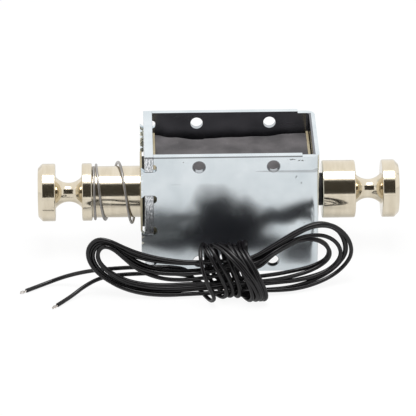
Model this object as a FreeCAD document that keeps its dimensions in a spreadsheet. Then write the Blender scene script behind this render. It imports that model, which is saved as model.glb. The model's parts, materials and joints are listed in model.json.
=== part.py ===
"""Open frame push pull solenoid, lying on the open bottom edges of its bent steel frame.

Millimetres, +Z up. X runs along the plunger, from the spring end to the far end, Y from the front
wall to the back wall. Sizes along X are measured from the tips of the frame's left tongues, and
origin_from_tips moves everything so that the origin lies under the middle of the whole part.
"""

import FreeCAD
import Part

import math
import os

import Sketcher

Vector = FreeCAD.Vector

SIZES = {
    # Bent strip frame
    "origin_from_tips": 26.5,
    "frame_length": 60.0,
    "frame_depth": 35.0,
    "frame_height": 44.0,
    "strip": 2.0,
    "bend_inside": 1.0,
    "end_trim": 0.65,
    "end_trim_length": 5.8,
    "screw_hole": 4.2,
    "first_hole_column": 19.5,
    "hole_column_spacing": 25.0,
    "hole_edge_distance": 4.0,
    "rivet_hole": 9.0,
    "lead_hole": 5.0,
    "lead_hole_column": 29.0,
    "lead_hole_height": 5.2,
    # Staked end plate
    "tongue_proud": 1.2,
    "plate": 3.0,
    "corner_tab": 5.8,
    "middle_tab": 14.8,
    "relief_radius": 1.1,
    "relief_straight": 0.66,
    "tab_clearance": 0.04,
    "tongue_spread": 1.0,
    "stake_depth": 1.0,
    "stake_mouth": 1.2,
    "stake_high_inset": 0.9,
    "stake_middle_inset": 3.2,
    "stake_low_inset": 1.6,
    # Guide tube and coil
    "guide_wall": 0.5,
    "flange": 0.85,
    "flange_wall_gap": 0.4,
    "flange_height": 31.6,
    "flange_corner": 3.0,
    "flange_end_gap": 0.3,
    "former_wall": 0.7,
    "winding_corner": 6.0,
    "tape": 0.7,
    "wrap_left_inset": 0.55,
    "wrap_dip_inset": 2.15,
    "wrap_middle_inset": 1.65,
    "wrap_right_inset": 0.2,
    "wrap_corner": 4.5,
    # Washers on the outside of the two ends
    "damper": 0.75,
    "damper_outer": 24.0,
    "disc": 0.6,
    "disc_outer": 27.6,
    "disc_shaft_gap": 0.85,
    "buffer_outer": 11.2,
    "buffer": 1.75,
    "buffer_gap": 0.05,
    "buffer_rod_gap": 0.5,
    # Plunger
    "shaft": 17.6,
    "shaft_clearance": 0.075,
    "collar_step": 1.05,
    "head": 5.95,
    "head_chamfer": 1.5,
    "groove": 9.0,
    "neck": 6.5,
    "neck_rim": 11.0,
    "collar": 3.5,
    "shoulder_gap": 16.4,
    "stroke": 10.0,
    "nose_length": 7.0,
    "nose_tip": 9.0,
    "nose_step": 0.8,
    "stop_gap": 0.5,
    "stop_washer": 0.3,
    "pole_length": 20.0,
    "barrel": 11.3,
    "far_groove": 9.1,
    "far_head": 5.8,
    "rod": 5.0,
    "rod_clearance": 0.2,
    "rod_grip": 9.0,
    "edge_break": 0.3,
    # Return spring
    "spring_wire": 0.9,
    "spring_shaft_gap": 0.25,
    "spring_flare": 1.65,
    "spring_end_turns": 1.0,
    "spring_active_turns": 1.8,
    "spring_seat_gap": 0.1,
    # Lead wires
    "lead": 1.4,
    "sleeve_outer": 2.2,
    "sleeve_length": 4.0,
    "sleeve_coil_gap": 0.3,
    "tinned": 0.7,
    "tinned_length": 3.2,
    "hank_strand": 5.2,
    "knot_length": 22.6,
    "knot_depth": 14.9,
    "knot_height": 20.2,
    "knot_round": 6.8,
}

# How far the cutting outlines reach past what they cut
PAST = 2.0
# The relief arcs are this much larger than a quarter circle between their ends
RELIEF_EASE = 1.02
# Pitch of the spring's closed turns in wire diameters, and the even share of the open ones
CLOSED_PITCH = 1.05
EVEN_SHARE = 0.6

doc = FreeCAD.newDocument("solenoid")
sheet = doc.addObject("Spreadsheet::Sheet", "Sizes")
for row, (word, number) in enumerate(SIZES.items(), start=1):
    sheet.set(f"A{row}", word)
    sheet.set(f"B{row}", str(number))
    sheet.setAlias(f"B{row}", word)
doc.recompute()


class Length:
    """A size in millimetres together with the expression that ties it to the sheet."""

    def __init__(self, value, text):
        self.value = value
        self.text = text

    def __add__(self, other):
        other = length(other)
        return Length(self.value + other.value, f"({self.text} + {other.text})")

    def __sub__(self, other):
        other = length(other)
        return Length(self.value - other.value, f"({self.text} - {other.text})")

    def __mul__(self, number):
        return Length(self.value * number, f"({self.text} * {number})")

    def __truediv__(self, number):
        return Length(self.value / number, f"({self.text} / {number})")

    def __neg__(self):
        return Length(-self.value, f"(0 mm - {self.text})")

    __radd__ = __add__


def length(thing):
    """A plain number of millimetres as a Length."""
    return thing if isinstance(thing, Length) else Length(float(thing), f"{float(thing)} mm")


def size(word):
    """The named cell of the sheet."""
    return Length(SIZES[word], f"Sizes.{word} * 1 mm")


ZERO = length(0)


def new_body(label, height=None):
    """A body whose own origin lies at the tongue tips, on the floor or raised to a height."""
    body = doc.addObject("PartDesign::Body", label)
    body.Label = label
    body.setExpression("Placement.Base.x", (-size("origin_from_tips")).text)
    if height is not None:
        body.setExpression("Placement.Base.z", height.text)
    return body


def new_sketch(body, plane, offset=None):
    """An empty sketch on one of the body's origin planes, moved along the plane's normal."""
    sketch = body.newObject("Sketcher::SketchObject", f"{body.Label}_sketch")
    origin_plane = [item for item in body.Origin.OriginFeatures if item.Role == plane][0]
    sketch.AttachmentSupport = [(origin_plane, "")]
    sketch.MapMode = "FlatFace"
    if offset is not None:
        sketch.setExpression("AttachmentOffset.Base.z", offset.text)
    return sketch


def bind(sketch, kind, elements, amount):
    """Adds a constraint and ties it to the sheet; a zero distance becomes a point on the axis."""
    on_axis = {"DistanceX": -2, "DistanceY": -1}
    if kind in on_axis and amount.value == 0:
        sketch.addConstraint(
            Sketcher.Constraint("PointOnObject", elements[2], elements[3], on_axis[kind])
        )
        return
    index = sketch.addConstraint(Sketcher.Constraint(kind, *elements, amount.value))
    sketch.setExpression(f"Constraints[{index}]", amount.text)


def arc_through(start, end, radius):
    """The arc from start to end; a positive radius has its centre on the left of that line."""
    chord = end - start
    half = chord.Length / 2
    rise = math.sqrt(max(radius * radius - half * half, 0.0))
    left = Vector(-chord.y, chord.x, 0).normalize()
    centre = (start + end) * 0.5 + left * math.copysign(rise, radius)
    first, last = (start, end) if radius > 0 else (end, start)
    angles = [math.atan2(point.y - centre.y, point.x - centre.x) for point in (first, last)]
    if angles[1] < angles[0]:
        angles[1] += 2 * math.pi
    circle = Part.Circle(centre, Vector(0, 0, 1), abs(radius))
    return Part.ArcOfCircle(circle, angles[0], angles[1])


def draw_outline(sketch, corners):
    """A closed outline. Each corner is (across, up) or (across, up, radius of the arc after it)."""
    points = [Vector(corner[0].value, corner[1].value, 0) for corner in corners]
    edges = []
    for index, corner in enumerate(corners):
        start = points[index]
        end = points[(index + 1) % len(points)]
        if len(corner) == 3:
            edges.append((sketch.addGeometry(arc_through(start, end, corner[2].value), False), corner[2]))
        else:
            edges.append((sketch.addGeometry(Part.LineSegment(start, end), False), None))
    ends = [(2, 1) if radius is not None and radius.value < 0 else (1, 2) for _, radius in edges]
    for index, (edge, radius) in enumerate(edges):
        following, following_ends = edges[(index + 1) % len(edges)], ends[(index + 1) % len(edges)]
        sketch.addConstraint(
            Sketcher.Constraint("Coincident", edge, ends[index][1], following[0], following_ends[0])
        )
        bind(sketch, "DistanceX", (-1, 1, edge, ends[index][0]), corners[index][0])
        bind(sketch, "DistanceY", (-1, 1, edge, ends[index][0]), corners[index][1])
        if radius is not None:
            bind(sketch, "Radius", (edge,), radius if radius.value > 0 else -radius)


def draw_circle(sketch, diameter, across=ZERO, up=ZERO):
    """A full circle with its centre at (across, up)."""
    circle = Part.Circle(Vector(across.value, up.value, 0), Vector(0, 0, 1), diameter.value / 2)
    edge = sketch.addGeometry(circle, False)
    bind(sketch, "DistanceX", (-1, 1, edge, 3), across)
    bind(sketch, "DistanceY", (-1, 1, edge, 3), up)
    bind(sketch, "Diameter", (edge,), diameter)


def rounded_rectangle(width, rise, corner, middle_up=ZERO):
    """The corners of a rectangle about the axis with a round at each corner."""
    side = width / 2
    top = rise / 2 + middle_up
    bottom = middle_up - rise / 2
    return [
        (corner - side, bottom),
        (side - corner, bottom, corner),
        (side, bottom + corner),
        (side, top - corner, corner),
        (side - corner, top),
        (corner - side, top, corner),
        (-side, top - corner),
        (-side, bottom + corner, corner),
    ]


def pad(body, sketch, depth):
    """Pads a sketch along its plane's normal."""
    feature = body.newObject("PartDesign::Pad", f"{body.Label}_pad")
    feature.Profile = sketch
    feature.setExpression("Length", depth.text)
    return feature


def cut_through(body, sketch, one_way=False):
    """Cuts a sketch's outlines through the body, both ways or along the plane's normal only."""
    doc.recompute()
    before = body.Shape.Volume
    feature = body.newObject("PartDesign::Pocket", f"{body.Label}_cut")
    feature.Profile = sketch
    if one_way:
        feature.Reversed = True
    else:
        feature.SideType = "Symmetric"
    feature.Type = "ThroughAll"
    doc.recompute()
    if body.Shape.Volume >= before - 1e-6:
        raise RuntimeError(f"a cut in {body.Label} removed nothing")
    return feature


def turned(label, corners, height=None):
    """A body turned about the plunger axis from an outline of (along, radius) corners."""
    body = new_body(label, height or axis_height)
    sketch = new_sketch(body, "XZ_Plane")
    draw_outline(sketch, corners)
    feature = body.newObject("PartDesign::Revolution", f"{label}_turning")
    feature.Profile = sketch
    feature.ReferenceAxis = (sketch, ["H_Axis"])
    feature.Angle = 360
    return body


def ring(label, start, thickness, outer, bore):
    """A flat ring on the plunger axis."""
    inner_radius = bore / 2
    outer_radius = outer / 2
    return turned(
        label,
        [
            (start, inner_radius),
            (start + thickness, inner_radius),
            (start + thickness, outer_radius),
            (start, outer_radius),
        ],
    )


# Sizes that follow from the named ones
axis_height = size("frame_height") / 2
hole_row_spacing = size("frame_height") - size("hole_edge_distance") * 2
head_outer = size("shaft") + size("collar_step") * 2
disc_bore = size("shaft") + size("disc_shaft_gap") * 2
buffer_bore = size("rod") + size("buffer_rod_gap") * 2
flange_depth = size("frame_depth") - size("strip") * 2 - size("flange_wall_gap") * 2
winding_depth = flange_depth - size("wrap_dip_inset") * 2 - size("tape") * 2
winding_height = size("flange_height") - size("wrap_dip_inset") * 2 - size("tape") * 2

# Places along the plunger axis, from the tongue tips
plate_outer_face = size("tongue_proud")
plate_inner_face = plate_outer_face + size("plate")
far_outer_face = size("frame_length")
far_inner_face = far_outer_face - size("strip")
damper_face = plate_outer_face - size("damper")
disc_face = damper_face - size("disc")
shoulder = disc_face - size("shoulder_gap")
collar_start = shoulder - size("collar")
head_inner_face = collar_start - size("groove")
left_end = head_inner_face - size("head")
guide_bore = size("shaft") + size("shaft_clearance") * 2
guide_outer = guide_bore + size("guide_wall") * 2
pole_start = far_inner_face - size("pole_length")
barrel_start = far_outer_face + size("buffer") + size("buffer_gap")
barrel_end = barrel_start + size("barrel")
far_head_start = barrel_end + size("far_groove")
right_end = far_head_start + size("far_head")
seat_depth = size("nose_length")
nose_tip_face = pole_start + seat_depth - size("stroke") - size("stop_gap") - size("stop_washer")
flange_left_face = plate_inner_face
wrap_start = flange_left_face + size("flange")
flange_right_face = far_inner_face - size("flange_end_gap") - size("flange")


def frame_strip():
    """The strip bent into a U, with its notches, tongues, screw holes and trimmed far end."""
    body = new_body("frame_strip")
    wall = size("strip")
    inside = size("bend_inside")
    outside = inside + wall
    side = size("frame_depth") / 2
    sketch = new_sketch(body, "XY_Plane")
    draw_outline(
        sketch,
        [
            (ZERO, -side),
            (far_outer_face - outside, -side, outside),
            (far_outer_face, outside - side),
            (far_outer_face, side - outside, outside),
            (far_outer_face - outside, side),
            (ZERO, side),
            (ZERO, side - wall),
            (far_inner_face - inside, side - wall, -inside),
            (far_inner_face, side - wall - inside),
            (far_inner_face, wall + inside - side, -inside),
            (far_inner_face - inside, wall - side),
            (ZERO, wall - side),
        ],
    )
    pad(body, sketch, size("frame_height"))

    notches = new_sketch(body, "XZ_Plane")
    beyond = length(-PAST)
    top = size("frame_height")
    relief = size("relief_radius")
    spread = size("tongue_spread")
    inner = plate_inner_face
    outer = plate_outer_face
    corner = size("corner_tab")
    middle_low = axis_height - size("middle_tab") / 2
    middle_high = axis_height + size("middle_tab") / 2
    over = top + PAST
    under = length(-PAST)
    reach = inner + relief
    arc = relief * RELIEF_EASE
    flat = relief + size("relief_straight")
    opening = flat + relief
    draw_outline(
        notches,
        [
            (beyond, over),
            (beyond, top - corner + spread),
            (ZERO, top - corner + spread),
            (outer, top - corner),
            (inner, top - corner, arc),
            (reach, top - corner + relief),
            (reach, top - corner + flat, arc),
            (inner, top - corner + opening),
            (inner, over),
        ],
    )
    draw_outline(
        notches,
        [
            (beyond, middle_high - spread),
            (beyond, middle_low + spread),
            (ZERO, middle_low + spread),
            (outer, middle_low),
            (inner, middle_low, arc),
            (reach, middle_low + relief),
            (reach, middle_low + flat, arc),
            (inner, middle_low + opening),
            (inner, middle_high - opening, arc),
            (reach, middle_high - flat),
            (reach, middle_high - relief, arc),
            (inner, middle_high),
            (outer, middle_high),
            (ZERO, middle_high - spread),
        ],
    )
    draw_outline(
        notches,
        [
            (beyond, under),
            (inner, under),
            (inner, corner - opening, arc),
            (reach, corner - flat),
            (reach, corner - relief, arc),
            (inner, corner),
            (outer, corner),
            (ZERO, corner - spread),
            (beyond, corner - spread),
        ],
    )
    cut_through(body, notches)

    stakes = new_sketch(body, "XZ_Plane")
    half_mouth = size("stake_mouth") / 2
    for low, high in ((corner, middle_low), (middle_high, top - corner)):
        marks = (
            low + size("stake_low_inset"),
            high - size("stake_middle_inset"),
            high - size("stake_high_inset"),
        )
        for up in marks:
            draw_outline(
                stakes,
                [
                    (beyond, up - half_mouth),
                    (ZERO, up - half_mouth),
                    (size("stake_depth"), up),
                    (ZERO, up + half_mouth),
                    (beyond, up + half_mouth),
                ],
            )
    cut_through(body, stakes)

    trim = new_sketch(body, "XZ_Plane")
    trim_start = far_outer_face - size("end_trim_length")
    past = far_outer_face + PAST
    for low, high in ((top - size("end_trim"), over), (under, size("end_trim"))):
        draw_outline(trim, [(trim_start, low), (past, low), (past, high), (trim_start, high)])
    cut_through(body, trim)

    holes = new_sketch(body, "XZ_Plane")
    for column in range(2):
        for line in range(2):
            draw_circle(
                holes,
                size("screw_hole"),
                size("first_hole_column") + size("hole_column_spacing") * column,
                size("hole_edge_distance") + hole_row_spacing * line,
            )
    cut_through(body, holes)

    lead_hole = new_sketch(body, "XZ_Plane")
    draw_circle(lead_hole, size("lead_hole"), size("lead_hole_column"), size("lead_hole_height"))
    cut_through(body, lead_hole, one_way=True)

    rivet = new_sketch(body, "YZ_Plane", far_inner_face - 1)
    draw_circle(rivet, size("rivet_hole"), ZERO, axis_height)
    cut_through(body, rivet, one_way=True)
    return body


def end_plate():
    """The thick plate whose six tabs sit in the notches of the two walls."""
    body = new_body("end_plate")
    gap = size("tab_clearance")
    side = size("frame_depth") / 2
    inside = side - size("strip") - gap
    top = size("frame_height")
    corner = size("corner_tab") - gap
    middle_low = axis_height - size("middle_tab") / 2 + gap
    middle_high = axis_height + size("middle_tab") / 2 - gap
    right_side = [
        (side, ZERO),
        (side, corner),
        (inside, corner),
        (inside, middle_low),
        (side, middle_low),
        (side, middle_high),
        (inside, middle_high),
        (inside, top - corner),
        (side, top - corner),
        (side, top),
    ]
    left_side = [(-across, up) for across, up in reversed(right_side)]
    sketch = new_sketch(body, "YZ_Plane", plate_outer_face)
    draw_outline(sketch, right_side + left_side)
    draw_circle(sketch, guide_outer, ZERO, axis_height)
    pad(body, sketch, size("plate"))
    return body


def guide_tube():
    """The brass liner that the plunger slides in, from the end plate to the far end."""
    span = far_inner_face - plate_outer_face
    return ring("guide_tube", plate_outer_face, span, guide_outer, guide_bore)


def coil_former():
    """The insulating tube between the guide tube and the winding."""
    outer = guide_outer + size("former_wall") * 2
    return ring("coil_former", wrap_start, flange_right_face - wrap_start, outer, guide_outer)


def flange_sheet(label, start):
    """A thin square fibre flange that closes one end of the coil."""
    body = new_body(label, axis_height)
    sketch = new_sketch(body, "YZ_Plane", start)
    corners = rounded_rectangle(flange_depth, size("flange_height"), size("flange_corner"))
    draw_outline(sketch, corners)
    draw_circle(sketch, guide_outer)
    pad(body, sketch, size("flange"))
    return body


def coil_winding():
    """The copper winding as one rounded square block on its former."""
    body = new_body("coil_winding", axis_height)
    sketch = new_sketch(body, "YZ_Plane", wrap_start)
    corners = rounded_rectangle(winding_depth, winding_height, size("winding_corner"))
    draw_outline(sketch, corners)
    draw_circle(sketch, guide_outer + size("former_wall") * 2)
    pad(body, sketch, flange_right_face - wrap_start)
    return body


def coil_wrap():
    """The cloth tape over the winding, which sags behind its flared ends."""
    body = new_body("coil_wrap", axis_height)
    stations = [
        ("left", "left"),
        ("left", "dip"),
        ("dip", "dip"),
        ("middle", "middle"),
        ("middle", "middle"),
        ("middle", "middle"),
        ("middle", "middle"),
        ("middle", "right"),
        ("right", "right"),
    ]
    span = flange_right_face - wrap_start
    sections = []
    for index, (before, after) in enumerate(stations):
        sketch = new_sketch(body, "YZ_Plane", wrap_start + span * (index / (len(stations) - 1)))
        inset = size(f"wrap_{before}_inset") + size(f"wrap_{after}_inset")
        corners = rounded_rectangle(flange_depth - inset, size("flange_height") - inset, size("wrap_corner"))
        draw_outline(sketch, corners)
        sections.append(sketch)
    loft = body.newObject("PartDesign::AdditiveLoft", "coil_wrap_loft")
    loft.Profile = sections[0]
    loft.Sections = sections[1:]
    cavity = new_sketch(body, "YZ_Plane", wrap_start)
    corners = rounded_rectangle(winding_depth, winding_height, size("winding_corner"))
    draw_outline(cavity, corners)
    cut_through(body, cavity)
    return body


def pole_piece():
    """The fixed core, with a conical seat for the plunger's nose and a tenon riveted in the frame."""
    bore = size("rod") / 2 + size("rod_clearance")
    barrel = guide_bore / 2 - size("shaft_clearance")
    tenon = size("rivet_hole") / 2
    seat_floor = size("nose_tip") / 2 + size("stop_gap")
    return turned(
        "pole_piece",
        [
            (pole_start, barrel - size("edge_break") * 2),
            (pole_start + seat_depth, seat_floor),
            (pole_start + seat_depth, bore),
            (far_outer_face, bore),
            (far_outer_face, tenon),
            (far_inner_face, tenon),
            (far_inner_face, barrel),
            (pole_start, barrel),
        ],
    )


def left_slug():
    """The spring end of the plunger: grooved head, collar, long shaft and conical nose."""
    head = head_outer / 2
    chamfer = size("head_chamfer")
    lip = size("edge_break")
    shaft = guide_bore / 2 - size("shaft_clearance")
    rim = size("neck_rim") / 2
    rod = size("rod") / 2
    bore_floor = nose_tip_face - size("rod_grip")
    half_groove = size("groove") / 2
    rise = rim - size("neck") / 2
    sweep = (half_groove.value ** 2 + rise.value ** 2) / (2 * rise.value)
    sweep_text = f"(({half_groove.text}) ^ 2 + ({rise.text}) ^ 2) / (2 * ({rise.text}))"
    throat = Length(sweep, sweep_text)
    nose_start = nose_tip_face - size("nose_length")
    return turned(
        "left_slug",
        [
            (left_end, ZERO),
            (bore_floor, ZERO),
            (bore_floor, rod),
            (nose_tip_face, rod),
            (nose_tip_face, size("nose_tip") / 2),
            (nose_start, shaft - size("nose_step")),
            (nose_start, shaft),
            (shoulder, shaft),
            (shoulder, head - lip),
            (shoulder - lip, head),
            (collar_start + lip, head),
            (collar_start, head - lip),
            (collar_start, rim, -throat),
            (head_inner_face + half_groove, size("neck") / 2, -throat),
            (head_inner_face, rim),
            (head_inner_face, head - lip),
            (head_inner_face - lip, head),
            (left_end + chamfer, head),
            (left_end, head - chamfer),
        ],
    )


def right_slug():
    """The far end of the plunger: a barrel and a grooved head."""
    head = head_outer / 2
    chamfer = size("head_chamfer")
    lip = size("edge_break")
    rim = size("neck_rim") / 2
    rod = size("rod") / 2
    bore_floor = barrel_start + size("rod_grip")
    half_groove = size("far_groove") / 2
    rise = rim - size("neck") / 2
    sweep = (half_groove.value ** 2 + rise.value ** 2) / (2 * rise.value)
    sweep_text = f"(({half_groove.text}) ^ 2 + ({rise.text}) ^ 2) / (2 * ({rise.text}))"
    throat = Length(sweep, sweep_text)
    return turned(
        "right_slug",
        [
            (barrel_start, rod),
            (bore_floor, rod),
            (bore_floor, ZERO),
            (right_end, ZERO),
            (right_end, head - chamfer),
            (right_end - chamfer, head),
            (far_head_start + lip, head),
            (far_head_start, head - lip),
            (far_head_start, rim, -throat),
            (barrel_end + half_groove, size("neck") / 2, -throat),
            (barrel_end, rim),
            (barrel_end, head - lip),
            (barrel_end - lip, head),
            (barrel_start + lip, head),
            (barrel_start, head - lip),
        ],
    )


def push_rod():
    """The rod that joins the two slugs through the fixed core."""
    start = nose_tip_face - size("rod_grip")
    end = barrel_start + size("rod_grip")
    radius = size("rod") / 2
    return turned("push_rod", [(start, ZERO), (end, ZERO), (end, radius), (start, radius)])


def stop_washer():
    """The thin non magnetic washer in the floor of the core's seat."""
    start = pole_start + seat_depth - size("stop_washer")
    bore = size("rod") + size("rod_clearance") * 2
    return ring("stop_washer", start, size("stop_washer"), size("nose_tip"), bore)


def placed(feature, shape, label):
    """Sets a computed shape on a feature that stands at the tongue tips."""
    feature.Label = label
    feature.Shape = shape
    feature.setExpression("Placement.Base.x", (-size("origin_from_tips")).text)
    return feature


def return_spring():
    """The return spring: a closed turn at the shoulder, and open turns that widen to the disc."""
    wire = SIZES["spring_wire"]
    start = shoulder.value + wire / 2 + SIZES["spring_seat_gap"]
    end = disc_face.value - wire / 2 - SIZES["spring_seat_gap"]
    first_radius = (SIZES["shaft"] + wire) / 2 + SIZES["spring_shaft_gap"]
    last_radius = first_radius + SIZES["spring_flare"]
    closed = SIZES["spring_end_turns"]
    active = SIZES["spring_active_turns"]
    turns = closed + active
    closed_pitch = wire * CLOSED_PITCH
    open_length = end - start - closed_pitch * closed
    steps_per_turn = 12
    points = []
    count = round(turns * steps_per_turn)
    for step in range(count + 1):
        turn = turns * step / count
        opened = min(max((turn - closed) / active, 0.0), 1.0)
        smooth = opened * opened * (3 - 2 * opened)
        along = start + closed_pitch * min(turn, closed)
        along += open_length * (EVEN_SHARE * opened + (1 - EVEN_SHARE) * smooth)
        radius = first_radius + (last_radius - first_radius) * smooth
        angle = 2 * math.pi * (turn + 0.25)
        points.append(
            Vector(along, radius * math.cos(angle), axis_height.value + radius * math.sin(angle))
        )
    curve = Part.BSplineCurve()
    curve.interpolate(points)
    spine = Part.Wire([curve.toShape()])
    tangent = curve.tangent(curve.FirstParameter)[0]
    section = Part.Wire([Part.Circle(points[0], tangent, wire / 2).toShape()])
    pipe = Part.BRepOffsetAPI.MakePipeShell(spine)
    pipe.setBiNormalMode(Vector(1, 0, 0))
    pipe.add(section)
    pipe.build()
    pipe.makeSolid()
    return placed(doc.addObject("Part::Feature", "return_spring"), pipe.shape(), "return_spring")


def route(points, label):
    """Straight runs joined by tangent arcs, each as large as its two runs allow."""
    corners = [Vector(*point) for point in points]
    count = len(corners)
    arcs = {}
    for index in range(1, count - 1):
        before = corners[index - 1] - corners[index]
        after = corners[index + 1] - corners[index]
        half_turn = (math.pi - before.getAngle(after)) / 2
        reach = 0.45 * min(before.Length, after.Length)
        radius = reach / math.tan(half_turn)
        inward = (before.normalize() + after.normalize()).normalize()
        distance = radius / math.cos(half_turn)
        middle = corners[index] + inward * (distance - radius)
        arcs[index] = (corners[index] + before * reach, middle, corners[index] + after * reach)
        print(f"{label} arc {index}: radius {radius:.1f}, turn {math.degrees(2 * half_turn):.0f}")
    edges = []
    for index in range(count - 1):
        following = index + 1
        run_start = arcs[index][2] if index in arcs else corners[index]
        run_end = arcs[following][0] if following in arcs else corners[following]
        edges.append(Part.LineSegment(run_start, run_end).toShape())
        if following in arcs:
            edges.append(Part.Arc(*arcs[following]).toShape())
    return Part.Wire(edges)


def swept_circle(wire, diameter):
    """A round section swept along a wire of runs and arcs."""
    first = wire.Edges[0]
    direction = first.tangentAt(first.FirstParameter)
    section = Part.Wire([Part.Circle(first.valueAt(first.FirstParameter), direction, diameter / 2).toShape()])
    solid = wire.makePipeShell([section], True, False)
    expected = math.pi * diameter ** 2 / 4 * wire.Length
    if abs(solid.Volume / expected - 1) > 0.02:
        raise RuntimeError(f"a swept circle has volume {solid.Volume:.1f}, not {expected:.1f}")
    return solid


coil_underside = axis_height - size("flange_height") / 2 + size("wrap_middle_inset")
sleeve_height = coil_underside.value - SIZES["sleeve_outer"] / 2 - SIZES["sleeve_coil_gap"]

# Routes of the two lead wires and of the hank, in the frame whose origin lies under the middle
# of the part. The front wall's outer face is at y = -17.5 and the floor at z = 0.
EXIT_A = [
    (0.2, -4.0, sleeve_height), (0.5, -8.2, 6.4), (1.3, -12.2, 5.5), (1.65, -16.0, 5.2),
    (1.65, -20.4, 5.2), (1.3, -25.4, 5.7), (0.6, -31.4, 6.6),
]
EXIT_B = [
    (4.8, -4.0, sleeve_height), (4.5, -8.2, 6.4), (3.7, -12.2, 5.5), (3.35, -16.0, 5.2),
    (3.35, -20.4, 5.2), (3.7, -25.4, 5.5), (4.5, -31.4, 6.2),
]
TAIL_A = [
    (-4.6, -31.0, 9.3), (-15.0, -31.6, 8.9), (-26.0, -30.6, 8.3), (-35.0, -29.6, 7.7), (-44.0, -28.0, 6.2),
    (-52.0, -25.2, 3.0), (-60.0, -26.8, 0.76), (-65.4, -31.1, 0.76),
]
TAIL_B = [
    (-4.4, -32.0, 7.0), (-15.0, -32.0, 6.6), (-25.5, -31.5, 6.0), (-34.0, -31.0, 5.8), (-40.5, -30.7, 4.8),
    (-46.0, -32.6, 2.6), (-50.5, -35.8, 0.9), (-54.9, -41.0, 0.76),
]
LEFT_LOOP = [
    (4.0, -34.4, 4.4), (-8.0, -34.7, 3.1), (-18.0, -35.4, 2.8), (-27.5, -34.6, 3.0), (-38.4, -32.7, 6.8),
    (-43.6, -31.8, 12.6), (-40.8, -31.9, 18.6), (-33.3, -33.2, 16.4), (-22.9, -34.5, 13.3),
    (-7.7, -34.3, 10.7), (3.0, -34.0, 9.8),
]
RIGHT_LOOP = [
    (2.0, -33.4, 9.6), (12.2, -31.0, 11.2), (23.1, -27.2, 16.8), (30.5, -25.5, 19.4), (36.8, -24.7, 18.2),
    (41.2, -24.9, 13.2), (40.6, -25.4, 8.2), (35.8, -26.9, 4.8), (27.5, -29.5, 3.3), (15.0, -33.0, 4.2),
    (4.0, -34.2, 4.6),
]
KNOT_CORNER = (-7.0, -42.7, 0.2)


def cord_solid(label, shape):
    """A solid of the lead wires, whose route is given about the middle of the part."""
    feature = doc.addObject("Part::Feature", label)
    feature.Label = label
    feature.Shape = shape
    return feature


def lead_tube(label, points):
    """One stretch of lead wire that isn't coiled."""
    return cord_solid(label, swept_circle(route(points, label), SIZES["lead"]))


def tinned_end(label, points):
    """The bare tinned strands at the end of a lead."""
    end = Vector(*points[-1])
    direction = (end - Vector(*points[-2])).normalize()
    radius = SIZES["tinned"] / 2
    return cord_solid(label, Part.makeCylinder(radius, SIZES["tinned_length"], end, direction))


def lead_hank():
    """The outer shape of the hank: two loops of strands and the wrapped knot between them."""
    loops = [
        swept_circle(route(points, "lead_hank"), SIZES["hank_strand"])
        for points in (LEFT_LOOP, RIGHT_LOOP)
    ]
    block = Part.makeBox(
        SIZES["knot_length"], SIZES["knot_depth"], SIZES["knot_height"], Vector(*KNOT_CORNER)
    )
    knot = block.makeFillet(SIZES["knot_round"], block.Edges)
    return cord_solid("lead_hank", knot.fuse(loops))


def lead_sleeve(label, points):
    """The level sleeve over the joint between the coil's own wire and a lead, under the coil."""
    start = Vector(*points[0])
    direction = Vector(points[0][0] - points[1][0], points[0][1] - points[1][1], 0).normalize()
    return cord_solid(
        label, Part.makeCylinder(SIZES["sleeve_outer"] / 2, SIZES["sleeve_length"], start, direction)
    )


parts = [
    frame_strip(),
    end_plate(),
    guide_tube(),
    coil_former(),
    flange_sheet("left_flange", flange_left_face),
    flange_sheet("right_flange", flange_right_face),
    coil_winding(),
    coil_wrap(),
    pole_piece(),
    stop_washer(),
    ring("rubber_damper", damper_face, size("damper"), size("damper_outer"), disc_bore),
    ring("fibre_disc", disc_face, size("disc"), size("disc_outer"), disc_bore),
    ring("end_buffer", far_outer_face, size("buffer"), size("buffer_outer"), buffer_bore),
    left_slug(),
    push_rod(),
    right_slug(),
    return_spring(),
    lead_sleeve("lead_sleeve_a", EXIT_A),
    lead_sleeve("lead_sleeve_b", EXIT_B),
    lead_tube("lead_exit_a", EXIT_A),
    lead_tube("lead_exit_b", EXIT_B),
    lead_hank(),
    lead_tube("lead_tail_a", TAIL_A),
    lead_tube("lead_tail_b", TAIL_B),
    tinned_end("tinned_end_a", TAIL_A),
    tinned_end("tinned_end_b", TAIL_B),
]

doc.recompute()
for item in doc.Objects:
    if "Invalid" in item.State or "Error" in item.State:
        raise RuntimeError(f"{item.Label} failed: {item.State}")
for item in parts:
    if item.Shape.isNull() or not item.Shape.isValid() or not item.Shape.Solids:
        raise RuntimeError(f"{item.Label} has no valid solid")

os.makedirs("parts", exist_ok=True)
for item in parts:
    item.Shape.exportStep(f"parts/{item.Label}.step")
    box = item.Shape.BoundBox
    print(
        f"{item.Label}: {len(item.Shape.Solids)} solid, volume {item.Shape.Volume:.1f}, "
        f"x {box.XMin:.2f} {box.XMax:.2f}, y {box.YMin:.2f} {box.YMax:.2f}, z {box.ZMin:.2f} {box.ZMax:.2f}"
    )
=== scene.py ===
"""Looks of an open frame push pull solenoid: zinc frame, nickel plunger and a hank of leads.
"""

import json
import logging
import math
from dataclasses import dataclass
from enum import Enum

import bmesh
import bpy
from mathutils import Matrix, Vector, noise

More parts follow.
